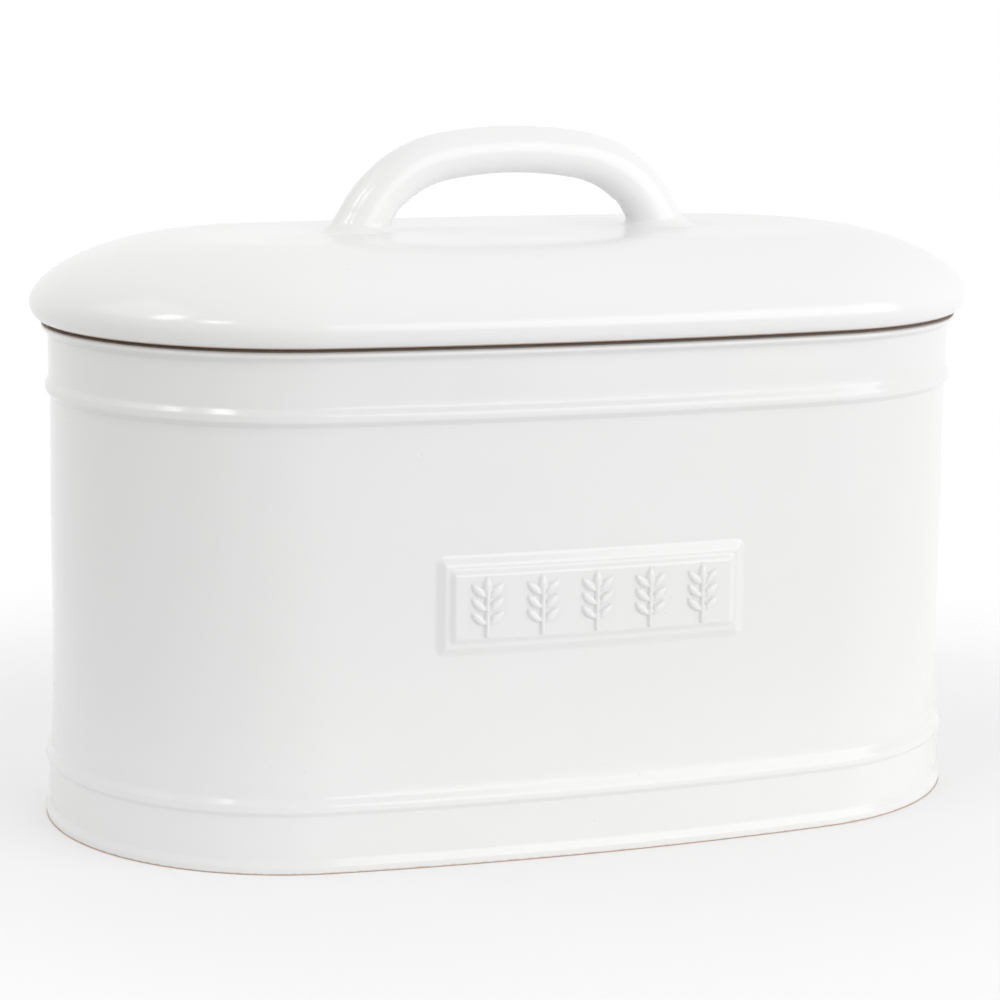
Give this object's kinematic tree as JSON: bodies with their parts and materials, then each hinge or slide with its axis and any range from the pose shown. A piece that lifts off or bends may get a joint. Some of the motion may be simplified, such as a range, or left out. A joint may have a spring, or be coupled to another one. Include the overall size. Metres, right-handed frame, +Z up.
{
  "type": "oval bread crock with lift-off lid",
  "caption": "Oval glazed stoneware bread crock with beaded mouldings, a raised front plaque with wheat relief, and a domed lift-off lid with an arched handle.",
  "frame": {"origin": "middle of the foot, on the surface the crock stands on", "axes": "+Z up, +X along the length, the plaque on the front faces -Y"},
  "size_m": [0.3526, 0.1946, 0.248],
  "materials": {
    "crock_glaze": "glossy off-white glaze",
    "lid_glaze": "glossy off-white glaze",
    "bare_clay": "bare fired clay, matt"
  },
  "bodies": {
    "crock": {"crock_shell": "crock_glaze", "foot_ring": "bare_clay", "plaque": "crock_glaze", "wheat_relief": "crock_glaze"},
    "lid": {"lid_shell": "lid_glaze", "lid_flange": "bare_clay", "lid_handle": "lid_glaze"}
  },
  "joints": [
    {"name": "lid_lift", "type": "slide", "parent": "crock", "child": "lid", "axis": [0, 0, 1], "range_m": [0, 0.3]}
  ]
}
